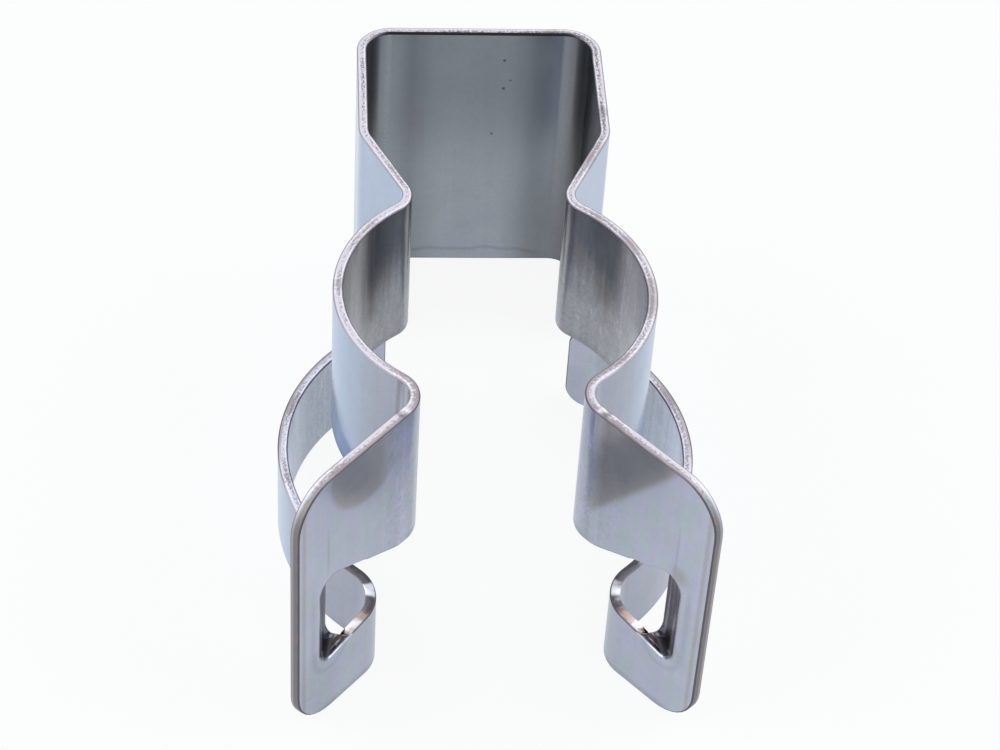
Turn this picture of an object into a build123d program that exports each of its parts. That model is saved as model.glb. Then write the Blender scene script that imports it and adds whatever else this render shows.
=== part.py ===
from build123d import *
import math
import os

# Heat exchanger clip: one strip of spring steel, slotted, then bent on edge into a
# square back channel, a round two-jawed pipe grip and two splayed end plates. The
# lower part of each end plate runs on as a tongue that is curled back round the jaw.
# Millimetres, +Z up, back wall towards +Y, standing on the strip's lower edge.

# Strip
sheet = 0.8
strip_height = 25.0
band_height = 13.5
slot_height = 3.5

# Grip, measured on the free clip
grip_radius = 11.5
throat_gap = 12.0
mouth_gap = 12.0
throat_bend = 1.5
mouth_bend = 2.0

# Back channel: the full strip steps up to the band a little behind the shoulder
back_width = 20.2
back_reach = 32.2
back_bend = 2.2
shoulder_angle = 65.0
shoulder_bend = 2.6
step_setback = 2.0
step_fillet = 1.5

# End plates
splay_angle = 49.0
plate_length = 12.4
plate_corner = 3.8

# Window in each end plate: the widened end of the slot
rim_width = 2.4
window_lead = 1.0
window_roof_angle = 23.0
window_floor = 5.4
window_floor_angle = 11.0
window_roof_fillet = 1.6
window_floor_fillet = 1.0
window_lead_fillet = 3.0

# Lip drawn back from the window's outer and lower sides, gone before the curl
lip_depth = 2.1
lip_lean = 3.1
lip_fade = 6.6

# Tongues
tongue_radius = 15.7
tongue_end_angle = 61.0
tongue_corner = 1.5
curl_bend = 2.4
curl_rise = 12.0


def polar(radius, angle):
    """A plan point at a polar angle in degrees about the grip axis."""
    turn = math.radians(angle)
    return Vector(radius * math.cos(turn), radius * math.sin(turn))


def bend(before, inside_radius, turn):
    """A bend that carries on from the edge before it; a positive turn is to the left."""
    return JernArc(before @ 1, before % 1, inside_radius + sheet / 2, turn)


def waist_angle(gap, inside_radius):
    """Polar angle at which a waist bend runs tangent into the jaw."""
    across = gap / 2 + sheet + inside_radius
    return math.degrees(math.acos(across / (grip_radius + sheet + inside_radius)))


# Plan path of the right half along the middle of the sheet, from the back wall forwards
band_bottom = strip_height - band_height
tongue_height = band_bottom - slot_height
wall_x = (back_width - sheet) / 2
back_y = back_reach - sheet / 2
throat_angle = waist_angle(throat_gap, throat_bend)
mouth_angle = waist_angle(mouth_gap, mouth_bend)

# The ramp is tangent to the throat bend and meets the side wall at the shoulder
ramp_heading = shoulder_angle - 180
throat_centre = polar(grip_radius + sheet + throat_bend, throat_angle)
ramp_end = throat_centre + polar(throat_bend + sheet / 2, ramp_heading - 90)
shoulder_y = ramp_end.Y + (wall_x - ramp_end.X) * math.tan(math.radians(shoulder_angle))
shoulder_setback = (shoulder_bend + sheet / 2) * math.tan(math.radians(90 - shoulder_angle) / 2)
wall_end_y = shoulder_y + shoulder_setback

back = Line((0, back_y), (wall_x - back_bend - sheet / 2, back_y))
corner = bend(back, back_bend, -90)
wall = Line(corner @ 1, (wall_x, wall_end_y))
shoulder = bend(wall, shoulder_bend, shoulder_angle - 90)
ramp = Line(shoulder @ 1, ramp_end)
throat = bend(ramp, throat_bend, throat_angle - 90 - ramp_heading)
jaw = bend(throat, grip_radius, -throat_angle - mouth_angle)
mouth = bend(jaw, mouth_bend, mouth_angle + 90 - splay_angle)
plate = Line(mouth @ 1, mouth @ 1 + polar(plate_length, -splay_angle))

# The curl is tangent to the end plate and to the tongue, whose arc shares the grip's axis
along = polar(1, -splay_angle)
behind = polar(1, 90 - splay_angle)
tongue_middle = tongue_radius + sheet / 2
curl_middle = curl_bend + sheet / 2
plate_offset = behind.dot(plate @ 0) + curl_middle
curl_run = math.sqrt((tongue_middle + curl_middle) ** 2 - plate_offset**2)
curl_centre = along * curl_run + behind * plate_offset
curl_angle = math.degrees(math.atan2(curl_centre.Y, curl_centre.X))
curl_start = curl_run - along.dot(plate @ 0)
curl_turn = curl_angle + splay_angle - 90

curl = JernArc(curl_centre - behind * curl_middle, along * -1, curl_middle, curl_turn)
tongue = JernArc(curl @ 1, curl % 1, tongue_middle, tongue_end_angle - curl_angle)

# The end plate drawn flat: outward along the plate, then up; its inner face looks along +Z
plate_plane = Plane(origin=plate @ 0, x_dir=along, z_dir=behind * -1)
window_end = plate_length - rim_width
roof_rise = (window_end - window_lead) * math.tan(math.radians(window_roof_angle))
floor_rise = (window_end - curl_start) * math.tan(math.radians(window_floor_angle))
window_roof = band_bottom + roof_rise
root_top = window_floor + floor_rise


def ribbon(path, low, high):
    """The sheet on edge along a plan path, between two heights."""
    return Pos(0, 0, low) * extrude(trace(path, sheet), amount=high - low)


def outline(*corners):
    """A face from corners given as across, up and the radius that rounds each."""
    points = [(across, up) for across, up, radius in corners]
    radii = [radius for across, up, radius in corners]
    return make_face(FilletPolyline(points, radius=radii, close=True))


def channel_half():
    """Back wall, corner and side wall, full height behind the step."""
    step_y = wall_end_y + step_setback
    side = outline(
        (wall_end_y, strip_height, 0),
        (wall_end_y, band_bottom, 0),
        (step_y, band_bottom, step_fillet),
        (step_y, 0, step_fillet),
        (back_reach, 0, 0),
        (back_reach, strip_height, 0),
    )
    blank = extrude(Plane.YZ * side, amount=back_width)
    return ribbon(back + corner + wall, 0, strip_height) & blank


def band_half():
    """Shoulder, ramp, throat, jaw and mouth at the band's height."""
    return ribbon(shoulder + ramp + throat + jaw + mouth, band_bottom, strip_height)


def end_plate():
    """Flat plate with rounded outer corners, open to the slot through its window."""
    face = outline(
        (0, strip_height, 0),
        (plate_length, strip_height, plate_corner),
        (plate_length, 0, plate_corner),
        (curl_start, 0, 0),
        (curl_start, root_top, 0),
        (window_end, window_floor, window_floor_fillet),
        (window_end, window_roof, window_roof_fillet),
        (window_lead, band_bottom, window_lead_fillet),
        (0, band_bottom, 0),
    )
    return extrude(plate_plane * face, amount=sheet / 2, both=True)


def window_lip():
    """Rim of the window drawn back and inward: full up its side, fading along its floor."""
    hole = outline(
        (curl_start, root_top, 0),
        (window_end, window_floor, window_floor_fillet),
        (window_end, window_roof, window_roof_fillet),
        (window_lead, band_bottom, 0),
    )
    reach = math.hypot(lip_depth, lip_lean)
    wall_across = sheet * reach / lip_depth
    rim = Pos(wall_across, -sheet) * hole - hole
    front = plate_plane.offset(sheet / 2)
    draw = along * -lip_lean + behind * lip_depth
    lip = extrude(front * rim, amount=2 * reach, dir=draw)
    fade_up = window_floor + (window_end - lip_fade) * math.tan(math.radians(window_floor_angle))
    tip = front.from_local_coords(Vector(window_end, window_floor)) + draw
    foot = plate_plane.offset(-sheet / 2).from_local_coords(Vector(lip_fade, fade_up))
    upright = Vector(0, 0, 1)
    cut = Plane(tip, x_dir=upright, z_dir=upright.cross(foot - tip))
    return split(lip, bisect_by=cut, keep=Keep.TOP)


def tongue_half():
    """Curl and tongue, low at the root and rising to full height past the curl."""
    root_y = (plate_plane.from_local_coords(Vector(curl_start, 0))).Y
    blank = outline(
        (root_y - sheet, 0, 0),
        (back_reach, 0, 0),
        (back_reach, tongue_height, 0),
        (root_y + curl_rise, tongue_height, 0),
        (root_y, root_top, 0),
        (root_y - sheet, root_top, 0),
    )
    leaf = ribbon(curl + tongue, 0, tongue_height) & extrude(Plane.YZ * blank, amount=2 * tongue_middle)
    tip = tongue @ 1
    upper = leaf.edges().sort_by_distance(Vector(tip.X, tip.Y, tongue_height))[0]
    lower = leaf.edges().sort_by_distance(Vector(tip.X, tip.Y, 0))[0]
    return fillet([upper, lower], tongue_corner)


# The join starts from a solid, which keeps it exact: a fuzzy one swallows the lips
half = channel_half().solid() + band_half() + end_plate() + window_lip() + tongue_half()
clip = half + mirror(half, about=Plane.YZ)
middle = clip.bounding_box().center()
spring_clip = Pos(-middle.X, -middle.Y, 0) * clip

os.makedirs("parts", exist_ok=True)
export_step(spring_clip, "parts/spring_clip.step")
print("grip axis at y", round(-middle.Y, 4), "curl starts at", round(curl_start, 3))
print("volume", round(spring_clip.volume, 2), "size", spring_clip.bounding_box().size)
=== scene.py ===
# %% [markdown]
# A heat exchanger clip: one strip of spring steel, slotted, then folded on edge into
# a back channel, a round pipe grip and two end plates with curled tongues.
# The solid comes in first as a fixed frame, and everything below is fitted to it.
# The solid's box gives the grip's axis, and the finished clip is compared with the solid at the
# end.

# %% Load the frame
import math

import bmesh
import bpy
from mathutils import Matrix, Vector
from mathutils.bvhtree import BVHTree


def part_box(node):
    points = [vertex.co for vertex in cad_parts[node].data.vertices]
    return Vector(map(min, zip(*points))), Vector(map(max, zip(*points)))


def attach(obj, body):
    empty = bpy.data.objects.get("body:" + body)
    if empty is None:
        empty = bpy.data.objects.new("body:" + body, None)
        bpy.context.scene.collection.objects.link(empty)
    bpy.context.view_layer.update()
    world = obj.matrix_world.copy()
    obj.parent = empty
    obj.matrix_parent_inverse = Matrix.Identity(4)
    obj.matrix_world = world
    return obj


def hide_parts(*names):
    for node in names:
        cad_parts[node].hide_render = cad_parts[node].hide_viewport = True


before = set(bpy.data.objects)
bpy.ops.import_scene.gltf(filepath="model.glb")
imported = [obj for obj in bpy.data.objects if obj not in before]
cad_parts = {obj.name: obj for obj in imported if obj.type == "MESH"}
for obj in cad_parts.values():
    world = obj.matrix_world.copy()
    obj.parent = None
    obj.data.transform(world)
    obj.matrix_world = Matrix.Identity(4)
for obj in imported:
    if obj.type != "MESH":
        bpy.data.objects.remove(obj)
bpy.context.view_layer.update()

# %% [markdown]
# Every size of the clip is written once, in millimetres times MM, as on a workshop
# drawing. The strip is described flat, as the blank that leaves the press, because
# that is how a folder thinks of it: where each bend starts along the strip, and how
# high each edge runs. The bending comes after, by a rule.

# %% Sizes of the strip and its bends
MM = 0.001
SHEET = 0.8 * MM
STRIP_HEIGHT = 25.0 * MM
BAND_BOTTOM = 11.5 * MM
TONGUE_HEIGHT = 8.0 * MM

GRIP_RADIUS = 11.5 * MM
THROAT_GAP = 12.0 * MM
MOUTH_GAP = 12.0 * MM
THROAT_BEND = 1.5 * MM
MOUTH_BEND = 2.0 * MM

BACK_WIDTH = 20.2 * MM
BACK_REACH = 32.2 * MM
BACK_BEND = 2.2 * MM
SHOULDER_ANGLE = 65.0
SHOULDER_BEND = 2.6 * MM
STEP_SETBACK = 2.0 * MM
STEP_FILLET = 1.5 * MM

SPLAY_ANGLE = 49.0
PLATE_LENGTH = 12.4 * MM
PLATE_CORNER = 3.8 * MM

RIM_WIDTH = 2.4 * MM
WINDOW_LEAD = 1.0 * MM
WINDOW_ROOF_ANGLE = 23.0
WINDOW_FLOOR = 5.4 * MM
WINDOW_FLOOR_ANGLE = 11.0
WINDOW_ROOF_FILLET = 1.6 * MM
WINDOW_FLOOR_FILLET = 1.0 * MM
WINDOW_LEAD_FILLET = 3.0 * MM

LIP_DEPTH = 2.1 * MM
LIP_LEAN = 3.1 * MM
LIP_FADE = 6.6 * MM
LIP_ROLL = 0.5 * MM

TONGUE_RADIUS = 15.7 * MM
TONGUE_END_ANGLE = 61.0
TONGUE_CORNER = 1.5 * MM
CURL_BEND = 2.4 * MM
CURL_RISE = 12.0 * MM

HALF_SHEET = SHEET / 2
print("strip", STRIP_HEIGHT / MM, "mm high, of sheet", SHEET / MM, "mm thick")

# %% [markdown]
# In plan the strip's middle line is straight runs and arcs, each tangent to the one
# before. A small turtle draws it: it knows where it is and which way it heads, and it
# notes the length run so far. Those lengths become the bend lines on the flat blank.

# %% A turtle for the plan path
DEGREES_A_STEP = 1.5

class PlanPath:
    """A line of straight runs and arcs in plan, with the length at each point."""

    def __init__(self, start, heading):
        self.points = [Vector((start[0], start[1], 0))]
        self.lengths = [0.0]
        self.heading = heading

    def _step(self, distance):
        turn = math.radians(self.heading)
        self.points.append(self.points[-1] + Vector((math.cos(turn), math.sin(turn), 0)) * distance)

    def run(self, length):
        """Goes straight on, and returns the length so far."""
        self._step(length)
        self.lengths.append(self.lengths[-1] + length)
        return self.lengths[-1]

    def bend(self, radius, turn):
        """Turns along an arc, left if positive, and returns the length so far."""
        steps = math.ceil(abs(turn) / DEGREES_A_STEP)
        part = turn / steps
        for _ in range(steps):
            self.heading += part / 2
            self._step(2 * radius * math.sin(math.radians(abs(part)) / 2))
            self.heading += part / 2
            self.lengths.append(self.lengths[-1] + radius * math.radians(abs(part)))
        return self.lengths[-1]

    def point_at(self, length):
        """The plan point at a length along the path."""
        spans = zip(self.points, self.points[1:], self.lengths, self.lengths[1:])
        for before, after, low, high in spans:
            if length <= high:
                return before.lerp(after, (length - low) / (high - low))
        return self.points[-1]

def polar(radius, angle):
    turn = math.radians(angle)
    return Vector((radius * math.cos(turn), radius * math.sin(turn), 0))

def waist_angle(gap, inside_radius):
    """Polar angle about the grip's axis at which a waist bend meets the jaw."""
    across = gap / 2 + SHEET + inside_radius
    return math.degrees(math.acos(across / (GRIP_RADIUS + SHEET + inside_radius)))

# %% [markdown]
# The band's path goes from the middle of the back wall round to the end plate's tip.
# The tongue's path is walked from its free end, round the grip, through the curl and
# out along the same end plate, so the two paths share their last stretch.

# %% The two plan paths
wall_x = (BACK_WIDTH - SHEET) / 2
throat_angle = waist_angle(THROAT_GAP, THROAT_BEND)
mouth_angle = waist_angle(MOUTH_GAP, MOUTH_BEND)
ramp_heading = SHOULDER_ANGLE - 180
throat_centre = polar(GRIP_RADIUS + SHEET + THROAT_BEND, throat_angle)
ramp_end = throat_centre + polar(THROAT_BEND + HALF_SHEET, ramp_heading - 90)
slope = math.tan(math.radians(SHOULDER_ANGLE))
shoulder_y = ramp_end.y + (wall_x - ramp_end.x) * slope
setback = (SHOULDER_BEND + HALF_SHEET) * math.tan(math.radians(90 - SHOULDER_ANGLE) / 2)
corner_radius = BACK_BEND + HALF_SHEET
ramp_length = (wall_x - ramp_end.x) / math.cos(math.radians(SHOULDER_ANGLE)) - setback

band = PlanPath((0, BACK_REACH - HALF_SHEET), 0)
at_corner = band.run(wall_x - corner_radius)
at_wall = band.bend(corner_radius, -90)
at_shoulder = band.run(BACK_REACH - HALF_SHEET - corner_radius - shoulder_y - setback)
band.bend(SHOULDER_BEND + HALF_SHEET, SHOULDER_ANGLE - 90)
at_throat = band.run(ramp_length)
at_jaw = band.bend(THROAT_BEND + HALF_SHEET, throat_angle - 90 - ramp_heading)
at_mouth = band.bend(GRIP_RADIUS + HALF_SHEET, -throat_angle - mouth_angle)
at_plate = band.bend(MOUTH_BEND + HALF_SHEET, mouth_angle + 90 - SPLAY_ANGLE)
plate_root = band.points[-1].copy()
at_tip = band.run(PLATE_LENGTH)
print("band", round(at_tip / MM, 3), "mm long, heading", round(band.heading, 3))

along = polar(1, -SPLAY_ANGLE)
behind = polar(1, 90 - SPLAY_ANGLE)
curl_middle = CURL_BEND + HALF_SHEET
tongue_middle = TONGUE_RADIUS + HALF_SHEET
plate_offset = behind.dot(plate_root) + curl_middle
curl_run = math.sqrt((tongue_middle + curl_middle) ** 2 - plate_offset ** 2)
curl_centre = along * curl_run + behind * plate_offset
curl_angle = math.degrees(math.atan2(curl_centre.y, curl_centre.x))
curl_start = curl_run - along.dot(plate_root)

tongue = PlanPath(polar(tongue_middle, TONGUE_END_ANGLE), TONGUE_END_ANGLE - 90)
tongue.bend(tongue_middle, curl_angle - TONGUE_END_ANGLE)
tongue_length = tongue.bend(curl_middle, 90 - SPLAY_ANGLE - curl_angle)
tongue.run(PLATE_LENGTH - curl_start)
at_curl = at_plate + curl_start
at_tongue = at_curl - tongue_length
print("tongue", round(tongue_length / MM, 3), "mm long, heading", round(tongue.heading, 3))
print("both paths end", round((tongue.points[-1] - band.points[-1]).length / MM, 5), "mm apart")

# %% [markdown]
# The frame's origin is below the middle of the clip's box, and the plan paths are
# about the grip's axis, so the axis is found from the solid: the back wall's outer
# face is at the box's far side.

# %% Where the grip's axis is
far_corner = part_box("spring_clip")[1]
axis_y = far_corner.y - BACK_REACH
print("grip axis at y", round(axis_y / MM, 3), "mm")

# %% [markdown]
# Rounded corners come up all over the blank. Each is an arc tangent to the two edges
# that meet there, so one helper turns a list of corners and radii into an outline.

# %% Rounded outlines
ARC_STEP = math.radians(10)

def corner_arc(before, here, after, radius):
    """Points of the arc that rounds the corner at here."""
    back = (before - here).normalized()
    on = (after - here).normalized()
    half = back.angle(on) / 2
    centre = here + (back + on).normalized() * (radius / math.sin(half))
    start = here + back * (radius / math.tan(half)) - centre
    sweep = math.pi - 2 * half
    if back.x * on.y - back.y * on.x > 0:
        sweep = -sweep
    steps = math.ceil(abs(sweep) / ARC_STEP)
    turn = [Matrix.Rotation(sweep * n / steps, 2) for n in range(steps + 1)]
    return [centre + rotation @ start for rotation in turn]

def rounded(corners):
    """An outline from corners given as along, up and the radius that rounds each."""
    places = [Vector((along, up)) for along, up, radius in corners]
    points = []
    for index, (_, _, radius) in enumerate(corners):
        here = places[index]
        after = places[(index + 1) % len(places)]
        points += corner_arc(places[index - 1], here, after, radius) if radius else [here]
    return points

# %% [markdown]
# The window's outer and lower sides carry a lip that the punch drew back. On the
# blank its fold line is the window's edge. It is full all up the side, and along the
# floor an upright plane cuts it shorter and shorter, until it is gone before the curl.
# Round the corner of the roof it runs out too.

# %% How long the lip is at each point of the window's edge
window_end = PLATE_LENGTH - RIM_WIDTH
window_roof = BAND_BOTTOM + (window_end - WINDOW_LEAD) * math.tan(math.radians(WINDOW_ROOF_ANGLE))
root_top = WINDOW_FLOOR + (window_end - curl_start) * math.tan(math.radians(WINDOW_FLOOR_ANGLE))

def on_plate(point, depth=0.0):
    """A place on the blank for a point of the end plate, some depth behind its front."""
    return Vector((at_plate + point[0], depth - HALF_SHEET, point[1]))

lip_reach = math.hypot(LIP_DEPTH, LIP_LEAN)
draw = Vector((-LIP_LEAN, LIP_DEPTH, 0)) / lip_reach
lip_tip = on_plate((window_end, WINDOW_FLOOR)) + draw * lip_reach
fade_up = WINDOW_FLOOR + (window_end - LIP_FADE) * math.tan(math.radians(WINDOW_FLOOR_ANGLE))
lip_foot = on_plate((LIP_FADE, fade_up), SHEET)
lip_cut = Vector((0, 0, 1)).cross(lip_foot - lip_tip)
print("lip drawn", round(lip_reach / MM, 2), "mm")

def lip_length(place):
    full = max(0.0, lip_cut.dot(lip_tip - place) / lip_cut.dot(draw))
    return full * min(1.0, max(0.0, (window_roof - place.z) / WINDOW_ROOF_FILLET))

# %% [markdown]
# Now the blank's outline. Its three leaves are the channel with the band, the end
# plate, and the tongue below the slot. Each is walked anticlockwise, metal on the left,
# and neighbours share the corners on the line where the tongue starts to curl.

# %% The outlines of the three leaves
TONGUE_STATIONS = 24
SIDE_PIECES = 12
FLOOR_PIECES = 8
PAST_ROOF_CORNER = 4
PAST_FLOOR_CORNER = 2
at_step = at_shoulder - STEP_SETBACK
roof_at_curl = BAND_BOTTOM + (curl_start - WINDOW_LEAD) * math.tan(math.radians(WINDOW_ROOF_ANGLE))

def tongue_top(length):
    """Height of the tongue's upper edge at a length along the tongue's path."""
    root_y = tongue.point_at(tongue_length).y
    rise = (TONGUE_HEIGHT - root_top) / CURL_RISE
    return min(TONGUE_HEIGHT, root_top + (tongue.point_at(length).y - root_y) * rise)

def between(start, end, pieces, first, last):
    """Evenly spaced unrounded corners on a line, to give the lip points to hang from."""
    places = [Vector(start).lerp(Vector(end), n / pieces) for n in range(first, last)]
    return [(place.x, place.y, 0) for place in places]

roof_corner = (at_plate + window_end, window_roof)
low_corner = (at_plate + window_end, WINDOW_FLOOR)
foot_corner = (at_curl, root_top)
stations = [tongue_length * (1 - n / TONGUE_STATIONS) for n in range(1, TONGUE_STATIONS)]

band_leaf = rounded(
    [(0, 0, 0), (at_step, 0, STEP_FILLET), (at_step, BAND_BOTTOM, STEP_FILLET)]
    + [(at_plate + WINDOW_LEAD, BAND_BOTTOM, WINDOW_LEAD_FILLET), (at_curl, roof_at_curl, 0)]
    + [(at_curl, STRIP_HEIGHT, 0), (0, STRIP_HEIGHT, 0)]
)
tongue_leaf = rounded(
    [(*foot_corner, 0)]
    + [(at_tongue + length, tongue_top(length), 0) for length in stations]
    + [(at_tongue, TONGUE_HEIGHT, TONGUE_CORNER), (at_tongue, 0, TONGUE_CORNER), (at_curl, 0, 0)]
)
plate_leaf = rounded(
    [(at_curl, 0, 0), (at_tip, 0, PLATE_CORNER), (at_tip, STRIP_HEIGHT, PLATE_CORNER)]
    + [(at_curl, STRIP_HEIGHT, 0), (at_curl, roof_at_curl, 0), (*roof_corner, WINDOW_ROOF_FILLET)]
    + between(roof_corner, low_corner, SIDE_PIECES, PAST_ROOF_CORNER, SIDE_PIECES - 1)
    + [(*low_corner, WINDOW_FLOOR_FILLET)]
    + between(low_corner, foot_corner, FLOOR_PIECES, PAST_FLOOR_CORNER, FLOOR_PIECES)
    + [(*foot_corner, 0)]
)
print("outline points", len(band_leaf), len(tongue_leaf), len(plate_leaf))

# %% [markdown]
# Along the lip, the plate's edge is set back a little, which leaves room for the
# rounded shoulder over which the metal rolls. The points to set back are those of the
# window's edge where the lip has some length.

# %% The flat leaves, with the window's edge set back for the roll
SAME_PLACE = 0.02 * MM
blank = bmesh.new()
through = blank.verts.layers.float_vector.new("through")
plate_edge = []

def inward(index):
    """Direction into the window across the plate's outline at one of its points."""
    run = plate_leaf[(index + 1) % len(plate_leaf)] - plate_leaf[index - 1]
    return Vector((run.y, 0, -run.x)).normalized()

def by_the_window(point):
    beside = at_curl < point.x < roof_corner[0] + SAME_PLACE
    return beside and WINDOW_FLOOR - SAME_PLACE < point.y < window_roof

def add_leaf(outline, with_lip=False):
    vertices = []
    for index, point in enumerate(outline):
        place = Vector((point.x, -HALF_SHEET, point.y))
        length = lip_length(place) if with_lip and by_the_window(point) else 0.0
        roll = min(LIP_ROLL, length / 2)
        inner = inward(index) if roll else Vector()
        vertices.append(blank.verts.new(place - inner * roll))
        if with_lip:
            plate_edge.append((vertices[-1], place, inner, roll, length))
    return blank.faces.new(vertices)

add_leaf(band_leaf)
add_leaf(tongue_leaf)
add_leaf(plate_leaf, with_lip=True)
lipped = [index for index, (*_, length) in enumerate(plate_edge) if length]
lip_row = plate_edge[lipped[0] - 1:lipped[-1] + 2]
longest = max(length for *_, length in lip_row)
print("lip points", len(lip_row), "longest", round(longest / MM, 2), "mm")

# %% [markdown]
# A face only bends where it has edges to bend along. Each bend gets a row of creases
# across the strip, and the flat stretches get none, so they stay true planes.

# %% Creases across the bends
ON_THE_CUT = 0.002 * MM

def crease(outline_face, lengths):
    """Cuts one leaf of the blank across at each of these lengths."""
    leaf = {outline_face}
    for length in lengths:
        parts = list(leaf) + list({edge for face in leaf for edge in face.edges})
        parts += list({vertex for face in leaf for vertex in face.verts})
        cut = bmesh.ops.bisect_plane(
            blank, geom=parts, plane_co=(length, 0, 0), plane_no=(1, 0, 0), dist=ON_THE_CUT
        )
        leaf = {part for part in cut["geom"] if isinstance(part, bmesh.types.BMFace)}

def lengths_until(path, end):
    """The lengths at a path's points, without its start and what lies past an end."""
    return [length for length in path.lengths if SAME_PLACE < length < end]

blank.faces.ensure_lookup_table()
band_face, tongue_face, _ = blank.faces
crease(band_face, lengths_until(band, at_curl - SAME_PLACE))
crease(tongue_face, [at_tongue + length for length in lengths_until(tongue, tongue_length)])
print("creased faces", len(blank.faces))

# %% [markdown]
# The lip itself is rows of faces hung from the window's edge: a few that roll over,
# then one down to the free edge. Each point also keeps the direction that leads through
# the sheet there, straight back on the plate and square to the lip on the lip. Where
# the lip is only starting it is not turned as far. Where it has no length its points
# fall together and are merged.

# %% The drawn lip
ROLL_PIECES = 5
FULL_TURN = 1.2 * MM
BACKWARDS = Vector((0, 1, 0))

def lip_points(vertex, place, inner, roll, length):
    """The lip's section at one point: round the roll, then straight to its free edge."""
    points = [vertex]
    behind_lip = Vector((inner.z, 0, -inner.x)).cross(draw).normalized()
    if behind_lip.dot(inner) > 0:
        behind_lip.negate()
    turned = min(1.0, length / FULL_TURN)
    start = place - inner * roll
    end = place + draw * roll
    for n in range(1, ROLL_PIECES + 1):
        t = n / ROLL_PIECES
        on_roll = start * (1 - t) ** 2 + place * 2 * t * (1 - t) + end * t ** 2
        points.append(blank.verts.new(on_roll))
        points[-1][through] = BACKWARDS.lerp(behind_lip, t * turned).normalized()
    points.append(blank.verts.new(place + draw * length))
    points[-1][through] = BACKWARDS.lerp(behind_lip, turned).normalized()
    return points

sections = [lip_points(*row) for row in lip_row]
for one, other in zip(sections, sections[1:]):
    for n in range(len(one) - 1):
        blank.faces.new((one[n], one[n + 1], other[n + 1], other[n]))
bmesh.ops.remove_doubles(blank, verts=blank.verts, dist=SAME_PLACE)
print("blank faces with the lip", len(blank.faces))

# %% [markdown]
# The other half is this one turned over left to right. Its faces are then reversed, so
# that all of them look out of the clip's inner side, and the two halves meet at the
# middle of the back wall.

# %% The whole blank
half = list(blank.verts) + list(blank.edges) + list(blank.faces)
copied = bmesh.ops.duplicate(blank, geom=half)["geom"]
for part in copied:
    if isinstance(part, bmesh.types.BMVert):
        part.co.x *= -1
        part[through] = Vector((-part[through].x, part[through].y, part[through].z))
copied_faces = [part for part in copied if isinstance(part, bmesh.types.BMFace)]
bmesh.ops.reverse_faces(blank, faces=copied_faces)
bmesh.ops.remove_doubles(blank, verts=blank.verts, dist=SAME_PLACE)
bmesh.ops.recalc_face_normals(blank, faces=blank.faces)
biggest = max(blank.faces, key=lambda face: face.calc_area())
if biggest.normal.y > 0:
    bmesh.ops.reverse_faces(blank, faces=blank.faces)

print("whole blank", len(blank.faces), "faces")

# %% [markdown]
# So far the blank is only the inner face of the sheet. Its outer face is the same again,
# one thickness behind. Between them runs the sheared edge, whose section is drawn here:
# a soft shoulder where the punch came in and a tighter one where it broke through. The
# section is swept round the whole border, and the inner face gives way to it a little.

# %% Thickness and sheared edges
PUNCHED = 0.13 * MM
BROKEN = 0.07 * MM
ROUND_PIECES = 3
SHARPEST_MITRE = 0.5

def quarter(radius):
    """Inset and depth of the points that round one border of the edge."""
    turns = [math.pi / 2 * n / ROUND_PIECES for n in range(ROUND_PIECES + 1)]
    return [(radius * (1 - math.sin(turn)), radius * (1 - math.cos(turn))) for turn in turns]

broken_side = [(inset, SHEET - depth) for inset, depth in reversed(quarter(BROKEN))]
edge_section = quarter(PUNCHED) + broken_side

def backwards(vertex):
    return vertex[through] if vertex[through].length else BACKWARDS

border = [edge.link_loops[0] for edge in blank.edges if len(edge.link_faces) == 1]
into_metal = {}
for loop in border:
    here, ahead = loop.vert, loop.link_loop_next.vert
    for vertex in (here, ahead):
        inside = (ahead.co - here.co).cross(backwards(vertex)).normalized()
        into_metal.setdefault(vertex, []).append(inside)

inner_faces = list(blank.faces)
rows = {}
for vertex in list(blank.verts):
    back = backwards(vertex)
    if vertex in into_metal:
        one, other = into_metal[vertex]
        inward_here = (one + other) / max(SHARPEST_MITRE, 1 + one.dot(other))
        places = [vertex.co + inward_here * inset + back * depth for inset, depth in edge_section]
        vertex.co = places[0]
        rows[vertex] = [vertex] + [blank.verts.new(place) for place in places[1:]]
    else:
        rows[vertex] = [vertex, blank.verts.new(vertex.co + back * SHEET)]

for face in inner_faces:
    blank.faces.new([rows[vertex][-1] for vertex in reversed(face.verts)])
for loop in border:
    here, ahead = rows[loop.vert], rows[loop.link_loop_next.vert]
    for n in range(len(edge_section) - 1):
        blank.faces.new((ahead[n], here[n], here[n + 1], ahead[n + 1])).material_index = 1
for face in blank.faces:
    face.smooth = True
print("border stretches", len(border))

# %% The blank as an object
def in_scene(name, data):
    """A new object in the scene that carries this data."""
    made = bpy.data.objects.new(name, data)
    bpy.context.scene.collection.objects.link(made)
    return made

blank.verts.layers.float_vector.remove(through)
blank_mesh = bpy.data.meshes.new("flat_blank")
blank.to_mesh(blank_mesh)
blank.free()
flat_blank = in_scene("flat_blank", blank_mesh)
print("thick blank", len(blank_mesh.polygons), "faces")

# %% [markdown]
# Node trees read better as sums than as boxes and wires. A Wire stands for one output
# socket, and arithmetic on it adds Math nodes. A Board adds any other node: its
# settings first, then the values or wires of its sockets.

# %% Wires
class Wire:
    """An output socket that can be added, multiplied and so on."""

    def __init__(self, board, socket):
        self.board = board
        self.socket = socket

    def __add__(self, other):
        return self.board.maths("ADD", self, other)

    def __sub__(self, other):
        return self.board.maths("SUBTRACT", self, other)

    def __rsub__(self, other):
        return self.board.maths("SUBTRACT", other, self)

    def __mul__(self, other):
        return self.board.maths("MULTIPLY", self, other)

    def __lt__(self, other):
        return self.board.maths("LESS_THAN", self, other)

    def __gt__(self, other):
        return self.board.maths("GREATER_THAN", self, other)

    def __abs__(self):
        return self.board.maths("ABSOLUTE", self)

    __radd__ = __add__
    __rmul__ = __mul__

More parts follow.
